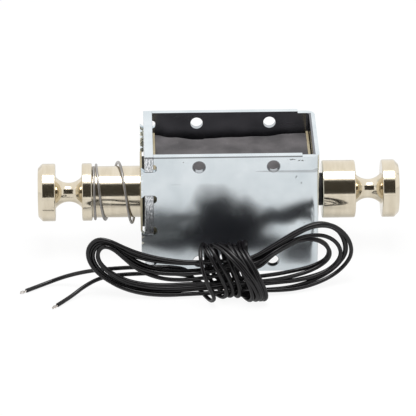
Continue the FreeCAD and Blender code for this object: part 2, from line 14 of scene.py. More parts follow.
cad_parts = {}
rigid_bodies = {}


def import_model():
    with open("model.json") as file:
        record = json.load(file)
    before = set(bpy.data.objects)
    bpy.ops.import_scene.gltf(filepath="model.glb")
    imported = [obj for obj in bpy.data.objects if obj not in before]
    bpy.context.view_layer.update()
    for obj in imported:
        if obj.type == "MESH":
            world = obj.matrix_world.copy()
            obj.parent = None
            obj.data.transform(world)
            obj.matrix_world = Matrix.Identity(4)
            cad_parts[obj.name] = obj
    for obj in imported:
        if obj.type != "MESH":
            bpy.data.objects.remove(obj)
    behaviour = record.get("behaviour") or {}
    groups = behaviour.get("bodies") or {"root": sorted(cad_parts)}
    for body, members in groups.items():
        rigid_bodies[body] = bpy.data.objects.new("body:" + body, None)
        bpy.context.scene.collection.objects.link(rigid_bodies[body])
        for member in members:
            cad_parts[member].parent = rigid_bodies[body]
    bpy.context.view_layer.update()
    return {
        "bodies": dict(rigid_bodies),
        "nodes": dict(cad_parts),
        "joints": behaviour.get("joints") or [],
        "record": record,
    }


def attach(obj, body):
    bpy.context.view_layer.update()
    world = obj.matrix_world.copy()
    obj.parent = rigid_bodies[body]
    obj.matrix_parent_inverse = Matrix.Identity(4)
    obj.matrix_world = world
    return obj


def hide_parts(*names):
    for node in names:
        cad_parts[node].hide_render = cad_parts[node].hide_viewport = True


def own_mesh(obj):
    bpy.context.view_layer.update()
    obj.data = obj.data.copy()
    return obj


MM = 0.001
MERGE = 0.001 * MM
PER_METRE = 1000.0
AXIS_HEIGHT = 22.0
SHOULDER = -43.05
MOST_NOISE = (0.3, 0.7)
WHITE = (1.0, 1.0, 1.0, 1.0)
LOG = logging.getLogger("solenoid")

Pair = tuple[float, float]
Point = tuple[float, float, float]
Colour = tuple[float, float, float]
Socket = bpy.types.NodeSocket
Outputs = bpy.types.bpy_prop_collection
Tree = bpy.types.NodeTree
Material = bpy.types.Material
Mesh = bpy.types.Mesh
Object = bpy.types.Object
Shape = bmesh.types.BMesh


def metres(point: Point) -> Vector:
    """A point given in millimetres, in metres."""
    return Vector(point) * MM


def eased(share: float) -> float:
    """A share from 0 to 1 that starts and ends gently."""
    return share * share * (3 - 2 * share)


def linked(name: str, data: bpy.types.ID) -> Object:
    """A new object that shows the data, in the scene."""
    holder = bpy.data.objects.new(name, data)
    bpy.context.scene.collection.objects.link(holder)
    return holder


# Shader graphs
class Graph:
    """Adds nodes to one node tree and links them, without repeating the same calls."""

    def __init__(self, tree: Tree) -> None:
        """Keeps the tree and empties it."""
        self.tree = tree
        tree.nodes.clear()

    def node(self, kind: str, inputs: dict, **settings) -> bpy.types.Node:
        """Adds one shader node.

        Args:
            kind: the node's type, without ShaderNode in front.
            inputs: constants or sockets, by the input's name or number.
            settings: the node's own options.
        Returns:
            The new node.
        """
        new = self.tree.nodes.new(f"ShaderNode{kind}")
        for name, value in settings.items():
            setattr(new, name, value)
        for name, value in inputs.items():
            if isinstance(value, Socket):
                self.tree.links.new(value, new.inputs[name])
            else:
                new.inputs[name].default_value = value
        return new

    def math(self, operation: str, *values, clamp: bool = False) -> Socket:
        """A Math node's output."""
        inputs = dict(enumerate(values))
        return self.node("Math", inputs, operation=operation, use_clamp=clamp).outputs[0]

    def product(self, first: Socket, *others) -> Socket:
        """Several values, such as masks and shares, multiplied."""
        for value in others:
            first = self.math("MULTIPLY", first, value)
        return first

    def ellipse(self, *parts: tuple) -> Socket:
        """The squared reach from an ellipse's middle; a part is an offset and a half width."""
        squares = []
        for offset, half in parts:
            away = self.math("DIVIDE", offset, half)
            squares.append(self.math("MULTIPLY", away, away))
        return self.math("ADD", *squares)

    def span(self, value: Socket, low: float, high: float) -> Socket:
        """One between the two limits, else zero."""
        above = self.math("GREATER_THAN", value, low)
        return self.math("MULTIPLY", above, self.math("LESS_THAN", value, high))

    def between(self, value, low: float, high: float, new_low=0.0, new_high=1.0) -> Socket:
        """A value moved from one range to another, and kept inside it."""
        inputs = {0: value, 1: low, 2: high, 3: new_low, 4: new_high}
        return self.node("MapRange", inputs).outputs[0]

    def mix(self, factor: Socket, first, second) -> Socket:
        """A mix of two colours."""
        first, second = (
            value if isinstance(value, Socket) else (*value, 1.0) for value in (first, second)
        )
        return self.node("Mix", {0: factor, 6: first, 7: second}, data_type="RGBA").outputs[2]

    def cover(self, tone, colour, *masks) -> Socket:
        """A tone covered by a colour where all the masks are."""
        return self.mix(self.product(*masks), tone, colour)

    def axes(self, coordinates: Socket) -> list[Socket]:
        """The three coordinates apart, in millimetres."""
        outputs = self.node("SeparateXYZ", {0: coordinates}).outputs
        return [self.math("MULTIPLY", axis, PER_METRE) for axis in outputs]

    def place(self, vector: Socket, scale: Point, turn: Point = (0.0, 0.0, 0.0)) -> Socket:
        """Coordinates turned and stretched."""
        inputs = {"Vector": vector, "Rotation": turn, "Scale": scale}
        return self.node("Mapping", inputs).outputs[0]

    def noise(self, vector: Socket, scale, detail: float = 3.0, rough: float = 0.5) -> Socket:
        """Noise of that scale, as a value."""
        inputs = {"Vector": vector, "Scale": scale, "Detail": detail, "Roughness": rough}
        return self.node("TexNoise", inputs).outputs["Fac"]

    def bump(self, height: Socket, distance: float) -> Socket:
        """A normal bent by a height, which is given in metres at a value of one."""
        return self.node("Bump", {"Height": height, "Distance": distance}).outputs[0]

    def group(self, tree: Tree, **inputs) -> Outputs:
        """The outputs of a shared effect, placed with its own values."""
        return self.node("Group", inputs, node_tree=tree).outputs

    def close(self, shader: bpy.types.Node, kind: str = "OutputMaterial") -> None:
        """Sends a shader to the output."""
        self.node(kind, {"Surface": shader.outputs[0]})


def new_effect(name: str, inputs: dict[str, float], outputs: tuple[str, ...]) -> tuple:
    """Starts a shared effect: a group that reads coordinates and named values.

    Args:
        name: the group's name.
        inputs: its value inputs and their usual values.
        outputs: its value outputs.
    Returns:
        The group's graph, the sockets it reads and the sockets it fills.
    """
    tree = bpy.data.node_groups.new(name, "ShaderNodeTree")
    face = tree.interface
    face.new_socket(name="Vector", in_out="INPUT", socket_type="NodeSocketVector")
    for word, usual in inputs.items():
        socket = face.new_socket(name=word, in_out="INPUT", socket_type="NodeSocketFloat")
        socket.default_value = usual
    for word in outputs:
        face.new_socket(name=word, in_out="OUTPUT", socket_type="NodeSocketFloat")
    graph = Graph(tree)
    return graph, tree.nodes.new("NodeGroupInput").outputs, tree.nodes.new("NodeGroupOutput").inputs


def new_material(name: str) -> tuple[Material, Graph, Socket]:
    """An empty material, its graph and its Object coordinates."""
    material = bpy.data.materials.new(name)
    material.use_nodes = True
    graph = Graph(material.node_tree)
    return material, graph, graph.node("TexCoord", {}).outputs["Object"]


class Effects:
    """The surface effects that several finishes share, each built once as a node group."""

    scratch_top: float = 0.8
    scratch_rough: float = 0.4
    scratch_stretch: Point = (0.09, 1.6, 1.6)
    scratch_turns: tuple[Point, ...] = ((0.4, 0.9, 0.5), (-0.8, 0.3, -1.1))

    def __init__(self) -> None:
        """Builds the groups."""
        self.grain = self.build_grain()
        self.scratches = self.build_scratches()
        self.specks = self.build_specks()

    def build_grain(self) -> Tree:
        """The group of fine relief over slow clouds: outputs Height and Cloud."""
        usual = {"Fine": 1500.0, "Slow": 60.0}
        graph, start, end = new_effect("grain", usual, ("Height", "Cloud"))
        for word, scale, detail in (("Height", "Fine", 4.0), ("Cloud", "Slow", 3.0)):
            graph.tree.links.new(graph.noise(start["Vector"], start[scale], detail), end[word])
        return graph.tree

    def build_scratches(self) -> Tree:
        """The group of thin short lines in two directions: output Mask."""
        graph, start, end = new_effect("scratches", {"Scale": 300.0, "Width": 0.03}, ("Mask",))
        limit = graph.math("SUBTRACT", self.scratch_top, start["Width"])
        masks = []
        for turn in self.scratch_turns:
            placed = graph.place(start["Vector"], self.scratch_stretch, turn)
            streaks = graph.noise(placed, start["Scale"], 1.0, self.scratch_rough)
            masks.append(graph.math("GREATER_THAN", streaks, limit))
        graph.tree.links.new(graph.math("MAXIMUM", *masks), end["Mask"])
        return graph.tree

    def build_specks(self) -> Tree:
        """The group of small scattered dots: output Mask."""
        usual = {"Scale": 700.0, "Size": 0.18, "Share": 0.1}
        graph, start, end = new_effect("specks", usual, ("Mask",))
        inputs = {"Vector": start["Vector"], "Scale": start["Scale"], "Randomness": 1.0}
        cells = graph.node("TexVoronoi", inputs).outputs
        chosen = graph.node("TexWhiteNoise", {"Vector": cells["Position"]}).outputs["Value"]
        few = graph.math("LESS_THAN", chosen, start["Share"])
        near = graph.math("LESS_THAN", cells["Distance"], start["Size"])
        graph.tree.links.new(graph.math("MULTIPLY", near, few), end["Mask"])
        return graph.tree


# Finishes
@dataclass(frozen=True)
class Finish:
    """A procedural finish: clouds of two tones with specks, over fine relief.

    This kind does for board, rubber and plastic; the others change what their shader reads.
    """

    name: str
    main: Colour
    second: Colour
    roughness: Pair
    relief: float = 0.00001
    fine: float = 2200.0
    slow: float = 120.0
    clouds: Pair = (0.35, 0.65)
    stretch: Point = (1.0, 1.0, 1.0)
    speck: Colour = (0.2, 0.2, 0.2)
    speck_density: float = 0.04
    speck_scale: float = 1100.0
    speck_size: float = 0.18
    speck_share: float = 0.5
    specular: float = 0.5

    def inputs(
        self, graph: Graph, coordinates: Socket, effects: Effects, grain: Outputs, plain: Socket
    ) -> dict:
        """What the shader reads, with the colour as it is under the specks.

        Args:
            graph: the material's graph.
            coordinates: its Object coordinates.
            effects: the shared effects.
            grain: the Height and Cloud of its grain.
            plain: the colour of its clouds.
        Returns:
            Constants or sockets, by the shader input's name.
        """
        return {
            "Base Color": plain,
            "Roughness": graph.between(grain["Height"], *MOST_NOISE, *self.roughness),
            "Specular IOR Level": self.specular,
            "Normal": graph.bump(grain["Height"], self.relief),
        }

    def make(self, effects: Effects) -> Material:
        """The finished material, built with the shared effects."""
        material, graph, coordinates = new_material(self.name)
        drawn = graph.place(coordinates, self.stretch)
        grain = graph.group(effects.grain, Vector=drawn, Fine=self.fine, Slow=self.slow)
        specks = graph.group(
            effects.specks, Vector=coordinates, Scale=self.speck_scale, Size=self.speck_size,
            Share=self.speck_density,
        )["Mask"]
        plain = graph.mix(graph.between(grain["Cloud"], *self.clouds), self.main, self.second)
        inputs = self.inputs(graph, coordinates, effects, grain, plain)
        tone = graph.cover(inputs["Base Color"], self.speck, specks, self.speck_share)
        graph.close(graph.node("BsdfPrincipled", {**inputs, "Base Color": tone}))
        return material


@dataclass(frozen=True)
class MetalFinish(Finish):
    """A bare or plated metal, which has scratches too."""

    relief: float = 0.000004
    fine: float = 1500.0
    slow: float = 60.0
    speck: Colour = (0.16, 0.15, 0.14)
    speck_density: float = 0.03
    speck_scale: float = 900.0
    speck_share: float = 0.8
    scratch_width: float = 0.02
    scratch_scale: float = 260.0
    scratch_share: float = 0.3
    scratch_rough: float = 0.15

    def tone(self, graph: Graph, coordinates: Socket, plain: Socket) -> Socket:
        """The colour with whatever sits at a place of its own: nothing here."""
        return plain

    def inputs(self, graph, coordinates, effects, grain, plain) -> dict:
        """A metal's inputs, as Finish.inputs says."""
        marks = graph.group(
            effects.scratches,
            Vector=coordinates, Scale=self.scratch_scale, Width=self.scratch_width,
        )["Mask"]
        tone = self.tone(graph, coordinates, plain)
        rough = graph.between(grain["Cloud"], *MOST_NOISE, *self.roughness)
        rougher = graph.product(marks, self.scratch_rough)
        return {
            "Base Color": graph.cover(tone, self.speck, marks, self.scratch_share),
            "Metallic": 1.0,
            "Roughness": graph.math("ADD", rough, rougher, clamp=True),
            "Normal": graph.bump(grain["Height"], self.relief),
        }


@dataclass(frozen=True)
class FramePlating(MetalFinish):
    """The frame's bright zinc, with sheared ends and scuffs, painted shade on the hole walls, round
    the hole rims and on the inner faces, and a painted dark reflection under the top edges.
    """

    hole_middle: Pair = (5.5, AXIS_HEIGHT)
    hole_offset: Pair = (12.5, 18.0)
    hole_radius: float = 2.14
    # Painted shade: a dark ring round each hole's rim, and darker hole walls
    painted_rim_shade_reach: float = 2.3
    painted_rim_shade_share: float = 0.7
    painted_hole_wall_shade: Colour = (0.5, 0.53, 0.56)
    middle_tab: float = 7.4
    corner_tab: float = 16.2
    wall_inside: float = 15.6
    end_wall: float = 32.2
    outer_face: float = 17.4
    plate_span: Pair = (-25.4, -22.2)
    # Painted shade: the colour of the walls' inner faces
    inside: Colour = (0.22, 0.225, 0.245)
    mottle_stretch: Point = (2.2, 1.0, 0.7)
    mottle_scale: float = 1500.0
    mottle_rough: float = 0.7
    mottle_clouds: Pair = (0.42, 0.58)
    mottle_share: float = 0.75
    sheared_dark: Colour = (0.2, 0.21, 0.23)
    sheared_bright: Colour = (0.97, 0.98, 1.0)
    # Painted reflection: a thin dark line under the top edges of the outer faces
    painted_top_reflection: Pair = (43.3, 43.8)
    painted_top_reflection_soft: Pair = (0.15, 0.1)
    painted_top_reflection_share: float = 0.75
    # Real scuff marks; the same dark also paints the shade at the hole rims and the reflection
    # under the top edges
    scuff_and_painted_shade: Colour = (0.05, 0.05, 0.055)
    scuff_share: float = 0.8
    scuff_reach: float = 0.75
    rag_scale: float = 1900.0
    rag_depth: Pair = (-0.1, 1.3)
    scuffs: tuple[tuple[Pair, Pair], ...] = (
        ((24.4, 42.4), (2.6, 0.5)),
        ((27.2, 42.1), (1.6, 0.45)),
        ((25.6, 36.0), (0.5, 0.95)),
        ((27.5, 33.6), (0.4, 0.8)),
    )

    def hole_reach(self, graph: Graph, along: Socket, up: Socket) -> Socket:
        """How far a place lies from the middle of the nearest screw hole."""
        parts = []
        for value, middle, offset in zip((along, up), self.hole_middle, self.hole_offset):
            mirrored = graph.math("ABSOLUTE", graph.math("SUBTRACT", value, middle))
            parts.append((graph.math("SUBTRACT", mirrored, offset), 1.0))
        return graph.math("SQRT", graph.ellipse(*parts))

    def tab_mask(self, graph: Graph, along: Socket, up: Socket) -> Socket:
        """One at the heights and the place of the end plate's tabs, else zero."""
        away = graph.math("ABSOLUTE", graph.math("SUBTRACT", up, AXIS_HEIGHT))
        middle = graph.math("LESS_THAN", away, self.middle_tab)
        corner = graph.math("GREATER_THAN", away, self.corner_tab)
        on_tab = graph.math("MAXIMUM", middle, corner)
        return graph.product(graph.span(along, *self.plate_span), on_tab)

    def tone(self, graph: Graph, coordinates: Socket, plain: Socket) -> Socket:
        """The plating's colour with everything that sits at a place of its own, painted shade and a
        painted reflection among them.

        Args:
            graph: the material's graph.
            coordinates: its Object coordinates.
            plain: the colour so far.
        Returns:
            The colour.
        """
        along, depth, up = graph.axes(coordinates)
        deep = graph.math("ABSOLUTE", depth)
        on_face = graph.math("GREATER_THAN", deep, self.outer_face)
        within = graph.math("LESS_THAN", deep, self.wall_inside)
        beyond_plate = graph.span(along, self.plate_span[1], self.end_wall)
        # Painted shade: the inner faces of the walls are darkened
        tone = graph.cover(plain, self.inside, within, beyond_plate)

        # Painted shade: a dark ring round each hole's rim, then darker hole walls
        reach = self.hole_reach(graph, along, up)
        in_painted_rim_shade = graph.math("LESS_THAN", reach, self.painted_rim_shade_reach)
        tone = graph.cover(tone, self.scuff_and_painted_shade, in_painted_rim_shade, self.painted_rim_shade_share)
        tone = graph.cover(tone, self.painted_hole_wall_shade, graph.math("LESS_THAN", reach, self.hole_radius))

        drawn = graph.place(coordinates, self.mottle_stretch)
        streaks = graph.noise(drawn, self.mottle_scale, rough=self.mottle_rough)
        mottle = graph.mix(
            graph.between(streaks, *self.mottle_clouds), self.sheared_dark, self.sheared_bright
        )
        on_tab = self.tab_mask(graph, along, up)
        tone = graph.cover(tone, mottle, on_face, on_tab, self.mottle_share)

        # Painted reflection: a thin dark line under the top edge of the outer faces
        (low, high), (rise, fall) = self.painted_top_reflection, self.painted_top_reflection_soft
        above = graph.between(up, low, low + rise)
        below = graph.between(up, high, high + fall, 1.0, 0.0)
        tone = graph.cover(tone, self.scuff_and_painted_shade, above, below, on_face, self.painted_top_reflection_share)

        rags = graph.noise(coordinates, self.rag_scale, rough=self.mottle_rough)
        rags = graph.between(rags, *self.clouds, *self.rag_depth)
        in_front = graph.math("LESS_THAN", depth, 0.0)
        for middle, half in self.scuffs:
            offsets = [
                graph.math("SUBTRACT", value, spot) for value, spot in zip((along, up), middle)
            ]
            reach = graph.math("ADD", graph.ellipse(*zip(offsets, half)), rags)
            near = graph.math("LESS_THAN", reach, self.scuff_reach)
            tone = graph.cover(tone, self.scuff_and_painted_shade, near, on_face, in_front, self.scuff_share)
        return tone


@dataclass(frozen=True)
class ClothTapeFinish(Finish):
    """Woven black cloth tape, rubbed paler along its folds, and darker near the front wall, where a
    shadow of the wall is painted.
    """

    relief: float = 0.00003
    fine: float = 1900.0
    slow: float = 130.0
    clouds: Pair = (0.35, 0.7)
    speck: Colour = (0.3, 0.29, 0.28)
    speck_density: float = 0.06
    speck_scale: float = 1400.0
    speck_size: float = 0.25
    speck_share: float = 0.35
    weave_scale: float = 412.6984
    weave_share: float = 0.5
    sheen: float = 0.15
    # Painted shadow of the front wall on the tape's front side
    shade: Colour = (0.008, 0.008, 0.009)
    shade_span: Pair = (-14.2, -13.4)
    shade_share: float = 0.85

    def inputs(self, graph, coordinates, effects, grain, plain) -> dict:
        """The cloth's inputs, as Finish.inputs says."""
        waves = {"Vector": coordinates, "Scale": self.weave_scale, "Distortion": 0.6, "Detail": 1.0}
        threads = [
            graph.node("TexWave", waves, wave_type="BANDS", bands_direction=axis).outputs["Fac"]
            for axis in "XY"
        ]
        relief = graph.math("ADD", graph.product(*threads, self.weave_share), grain["Height"])
        # Painted shadow: the tape darkens towards the front wall
        depth = graph.axes(coordinates)[1]
        in_painted_wall_shadow = graph.between(depth, *self.shade_span, self.shade_share, 0.0)
        return {
            "Base Color": graph.mix(in_painted_wall_shadow, plain, self.shade),
            "Roughness": graph.between(grain["Cloud"], *MOST_NOISE, *self.roughness),
            "Sheen Weight": self.sheen,
            "Normal": graph.bump(relief, self.relief),
        }


class Slot(Enum):
    """The record's material slots."""

    ZINC = "zinc_steel"
    NICKEL = "nickel_plunger"
    SPRING = "spring_steel"
    CORE = "core_steel"
    BRASS = "brass"
    FIBRE = "fibre"
    COPPER = "copper"
    TAPE = "cloth_tape"
    RUBBER = "black_rubber"
    INSULATION = "lead_insulation"
    TINNED = "tinned_copper"


FINISHES = {
    Slot.ZINC: FramePlating(
        "bright zinc plating", (0.80, 0.855, 0.885), (0.70, 0.765, 0.80), (0.21, 0.27),
        relief=0.000006, fine=900.0, slow=90.0, speck_density=0.022, scratch_width=0.045,
    ),
    Slot.NICKEL: MetalFinish(
        "nickel plating", (0.80, 0.725, 0.585), (0.72, 0.64, 0.50), (0.11, 0.15),
        relief=0.0000025, fine=700.0, slow=150.0, stretch=(3.0, 0.7, 0.7), speck_density=0.02,
    ),
    Slot.SPRING: MetalFinish(
        "spring wire", (0.42, 0.40, 0.38), (0.30, 0.285, 0.27), (0.24, 0.36), relief=0.000005,
    ),
    Slot.CORE: MetalFinish("soft iron", (0.45, 0.44, 0.43), (0.35, 0.34, 0.33), (0.3, 0.42)),
    Slot.BRASS: MetalFinish("brass tube", (0.80, 0.60, 0.28), (0.66, 0.47, 0.2), (0.22, 0.34)),
    Slot.FIBRE: Finish(
        "vulcanised fibre", (0.60, 0.52, 0.35), (0.48, 0.40, 0.25), (0.5, 0.7),
        speck=(0.12, 0.08, 0.03), speck_density=0.12,
    ),
    Slot.COPPER: MetalFinish(
        "enamelled copper", (0.72, 0.33, 0.14), (0.5, 0.2, 0.08), (0.25, 0.35),
    ),
    Slot.TAPE: ClothTapeFinish(
        "black cloth tape", (0.07, 0.065, 0.068), (0.165, 0.153, 0.158), (0.62, 0.8),
    ),
    Slot.RUBBER: Finish(
        "black rubber", (0.018, 0.018, 0.019), (0.03, 0.029, 0.03), (0.5, 0.65),
    ),
    Slot.INSULATION: Finish(
        "black lead insulation", (0.005, 0.0044, 0.0052), (0.009, 0.0081, 0.0095), (0.17, 0.23),
        relief=0.000003, fine=1300.0, slow=220.0, speck=(0.16, 0.155, 0.16), speck_density=0.03,
        speck_scale=1600.0, specular=0.4,
    ),
    Slot.TINNED: MetalFinish(
        "tinned strands", (0.75, 0.72, 0.70), (0.55, 0.5, 0.46), (0.22, 0.35),
    ),
}


# Meshes
def mesh_of(shape: Shape) -> Mesh:
    """The bmesh as a mesh."""
    mesh = bpy.data.meshes.new("piece")
    shape.to_mesh(mesh)
    shape.free()
    return mesh


def weigh_normals(mesh: Mesh, sharp: float) -> None:
    """Lets each corner follow its largest faces, so that flat and straight parts mirror evenly.

    Args:
        mesh: the mesh, whose corner normals are set.
        sharp: the angle above which faces don't share a normal.
    """
    limit = math.cos(math.radians(sharp))
    around: list[list[tuple[Vector, float]]] = [[] for _ in mesh.vertices]
    for face in mesh.polygons:
        for index in face.vertices:
            around[index].append((face.normal.copy(), face.area))
    corners = [Vector()] * len(mesh.loops)
    for face in mesh.polygons:
        own = face.normal.copy()
        for loop, index in zip(face.loop_indices, face.vertices):
            shared = [normal * area for normal, area in around[index] if own.dot(normal) >= limit]
            total = sum(shared, Vector())
            corners[loop] = total.normalized() if total.length > 0.0 else own
    mesh.normals_split_custom_set(corners)


def break_edges(shape: Shape, width: float, sharp: float = 28.0) -> None:
    """Rounds every crisp edge a little.

    Args:
        shape: the mesh being made.
        width: the width of the round.
        sharp: the angle above which an edge is crisp.
    """
    crisp = [
        edge for edge in shape.edges
        if len(edge.link_faces) == 2 and edge.calc_face_angle(0.0) > math.radians(sharp)
    ]
    bmesh.ops.bevel(
        shape, geom=crisp, offset=width * MM, offset_type="OFFSET", segments=2, profile=0.5,
        affect="EDGES", clamp_overlap=True, material=-1,
    )


def rim_edges(loop: list[bmesh.types.BMVert]) -> list[bmesh.types.BMEdge]:
    """The edges that join the corners of a loop, each once."""
    found = dict.fromkeys(edge for vert in loop for edge in vert.link_edges)
    return [edge for edge in found if all(vert in loop for vert in edge.verts)]


def turned(profile: list[Pair], steps: int = 144) -> Shape:
    """A shape turned about the plunger's axis.

    Args:
        profile: (along, radius) corners, from the axis to the axis.
        steps: how many faces go round.
    Returns:
        The bmesh.
    """
    shape = bmesh.new()
    corners = [shape.verts.new((along * MM, 0.0, radius * MM)) for along, radius in profile]
    edges = [shape.edges.new(pair) for pair in zip(corners, corners[1:])]
    bmesh.ops.spin(
        shape, geom=corners + edges, cent=(0.0, 0.0, 0.0), axis=(1.0, 0.0, 0.0),
        angle=2 * math.pi, steps=steps, use_merge=True, use_duplicate=False,
    )
    bmesh.ops.remove_doubles(shape, verts=shape.verts, dist=MERGE)
    bmesh.ops.recalc_face_normals(shape, faces=shape.faces)
    bmesh.ops.translate(shape, verts=shape.verts, vec=(0.0, 0.0, AXIS_HEIGHT * MM))
    return shape


def throat(start: float, end: float, rim: float, neck: float, steps: int = 14) -> list[Pair]:
    """The hollow of a neck between two rims, as points from start to end.

    Args:
        start: where the first rim is, along the axis.
        end: where the second rim is.
        rim: the radius at the rims.
        neck: the radius at the middle.
        steps: how many straight pieces it has.
    Returns:
        (along, radius) points.
    """
    half = (end - start) / 2
    rise = rim - neck
    sweep = (half * half + rise * rise) / (2 * rise)
    points = []
    for step in range(steps + 1):
        along = -half + 2 * half * step / steps
        radius = neck + sweep - math.sqrt(sweep * sweep - along * along)
        points.append((start + half + along, radius))
    return points


def wire_curve(
    name: str, points: list[Vector], diameter: float, order: int, sides: int
) -> bpy.types.Curve:
    """A curve of one open smooth spline with a round section.

    Args:
        name: the curve's name.
        points: the control points, in metres.
        diameter: the wire's diameter, in metres.
        order: the spline's order.
        sides: the bevel resolution.
    Returns:
        The curve data.
    """
    curve = bpy.data.curves.new(name, "CURVE")
    curve.dimensions = "3D"
    spline = curve.splines.new("NURBS")
    spline.points.add(len(points) - 1)
    for spot, point in zip(spline.points, points):
        spot.co = (*point, 1.0)
    spline.order_u = order
    spline.use_endpoint_u = True
    spline.resolution_u = 5
    spline.use_smooth = True
    curve.bevel_depth = diameter / 2
    curve.bevel_resolution = sides
    curve.use_fill_caps = True
    return curve


def wire_mesh(points: list[Vector], diameter: float, order: int, sides: int) -> Mesh:
    """The mesh of such a wire, with the same arguments as wire_curve."""
    holder = linked("wire", wire_curve("wire", points, diameter, order, sides))
    bpy.context.view_layer.update()
    seen = holder.evaluated_get(bpy.context.evaluated_depsgraph_get())
    mesh = bpy.data.meshes.new_from_object(seen)
    bpy.data.objects.remove(holder)
    shape = bmesh.new()
    shape.from_mesh(mesh)
    bmesh.ops.remove_doubles(shape, verts=shape.verts, dist=MERGE)
    bmesh.ops.recalc_face_normals(shape, faces=shape.faces)
    return mesh_of(shape)


# Pieces
class Bench:
    """The loaded frame and the finishes, with which every sub-assembly makes its pieces."""

    crisp_angle: float = 32.0
    soft_angle: float = 60.0
    flat_angle: float = 0.6

    def __init__(self, frame: dict) -> None:
        """Keeps the frame, and builds the effects and the materials once."""
        effects = Effects()
        self.frame = frame
        self.materials = {slot: finish.make(effects) for slot, finish in FINISHES.items()}

    def dress(self, slots: dict[str, Slot]) -> None:
        """Gives CAD nodes their finish."""
        for node, slot in slots.items():
            data = self.frame["nodes"][node].data
            data.materials.clear()
            data.materials.append(self.materials[slot])

    def add(
        self, node: str, mesh: Mesh, slot: Slot, body: str = "housing", name: str = "",
        crisp: bool = False,
    ) -> Object:
        """Makes a piece of the object from a finished mesh.

        Args:
            node: the CAD node it stands for.
            mesh: its mesh, in place in the row frame.
            slot: the finish it takes.
            body: the body it rides on.
            name: its name, if that isn't the node's with _shown behind it.
            crisp: whether it has crisp edges, and large faces that set its normals.
        Returns:
            The piece.
        """
        mesh.name = name or f"{node}_shown"
        mesh.materials.clear()
        mesh.materials.append(self.materials[slot])
        mesh.shade_smooth()
        sharp = self.crisp_angle if crisp else self.soft_angle
        mesh.set_sharp_from_angle(angle=math.radians(sharp))
        if crisp:
            weigh_normals(mesh, sharp)
        piece = linked(name or f"{node}_shown", mesh)
        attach(piece, body)
        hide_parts(node)
        LOG.info("%s: %d faces", piece.name, len(mesh.polygons))
        return piece

    def soften(self, node: str, slot: Slot, width: float) -> None:
        """Shows a CAD node with its triangles merged and its crisp edges rounded.

        Args:
            node: the node's name.
            slot: the finish it takes.
            width: the width of the rounds.
        """
        shape = bmesh.new()
        shape.from_mesh(self.frame["nodes"][node].data)
        bmesh.ops.remove_doubles(shape, verts=shape.verts, dist=MERGE)
        bmesh.ops.dissolve_limit(
            shape, angle_limit=math.radians(self.flat_angle), verts=shape.verts,
            edges=shape.edges, use_dissolve_boundaries=False,
        )
        break_edges(shape, width)
        self.add(node, mesh_of(shape), slot, crisp=True)


@dataclass
class Housing:
    """The staked frame, the washers and flanges, and the parts that keep their CAD shape."""

    bench: Bench
    steel_round: float = 0.22
    washer_round: float = 0.12

    def build(self) -> None:
        """Makes the frame, the plate, the washers and the flanges with broken edges."""
        for node in ("frame_strip", "end_plate"):
            self.bench.soften(node, Slot.ZINC, self.steel_round)
        washers = {
            "rubber_damper": Slot.RUBBER,
            "fibre_disc": Slot.FIBRE,
            "end_buffer": Slot.RUBBER,
            "left_flange": Slot.FIBRE,
            "right_flange": Slot.FIBRE,
        }
        for node, slot in washers.items():
            self.bench.soften(node, slot, self.washer_round)

    def dress(self) -> None:
        """Gives the hidden and thin parts their finish."""
        self.bench.dress({
            "guide_tube": Slot.BRASS,
            "coil_former": Slot.FIBRE,
            "coil_winding": Slot.COPPER,
            "pole_piece": Slot.CORE,
            "stop_washer": Slot.BRASS,
            "lead_sleeve_a": Slot.RUBBER,
            "lead_sleeve_b": Slot.RUBBER,
        })


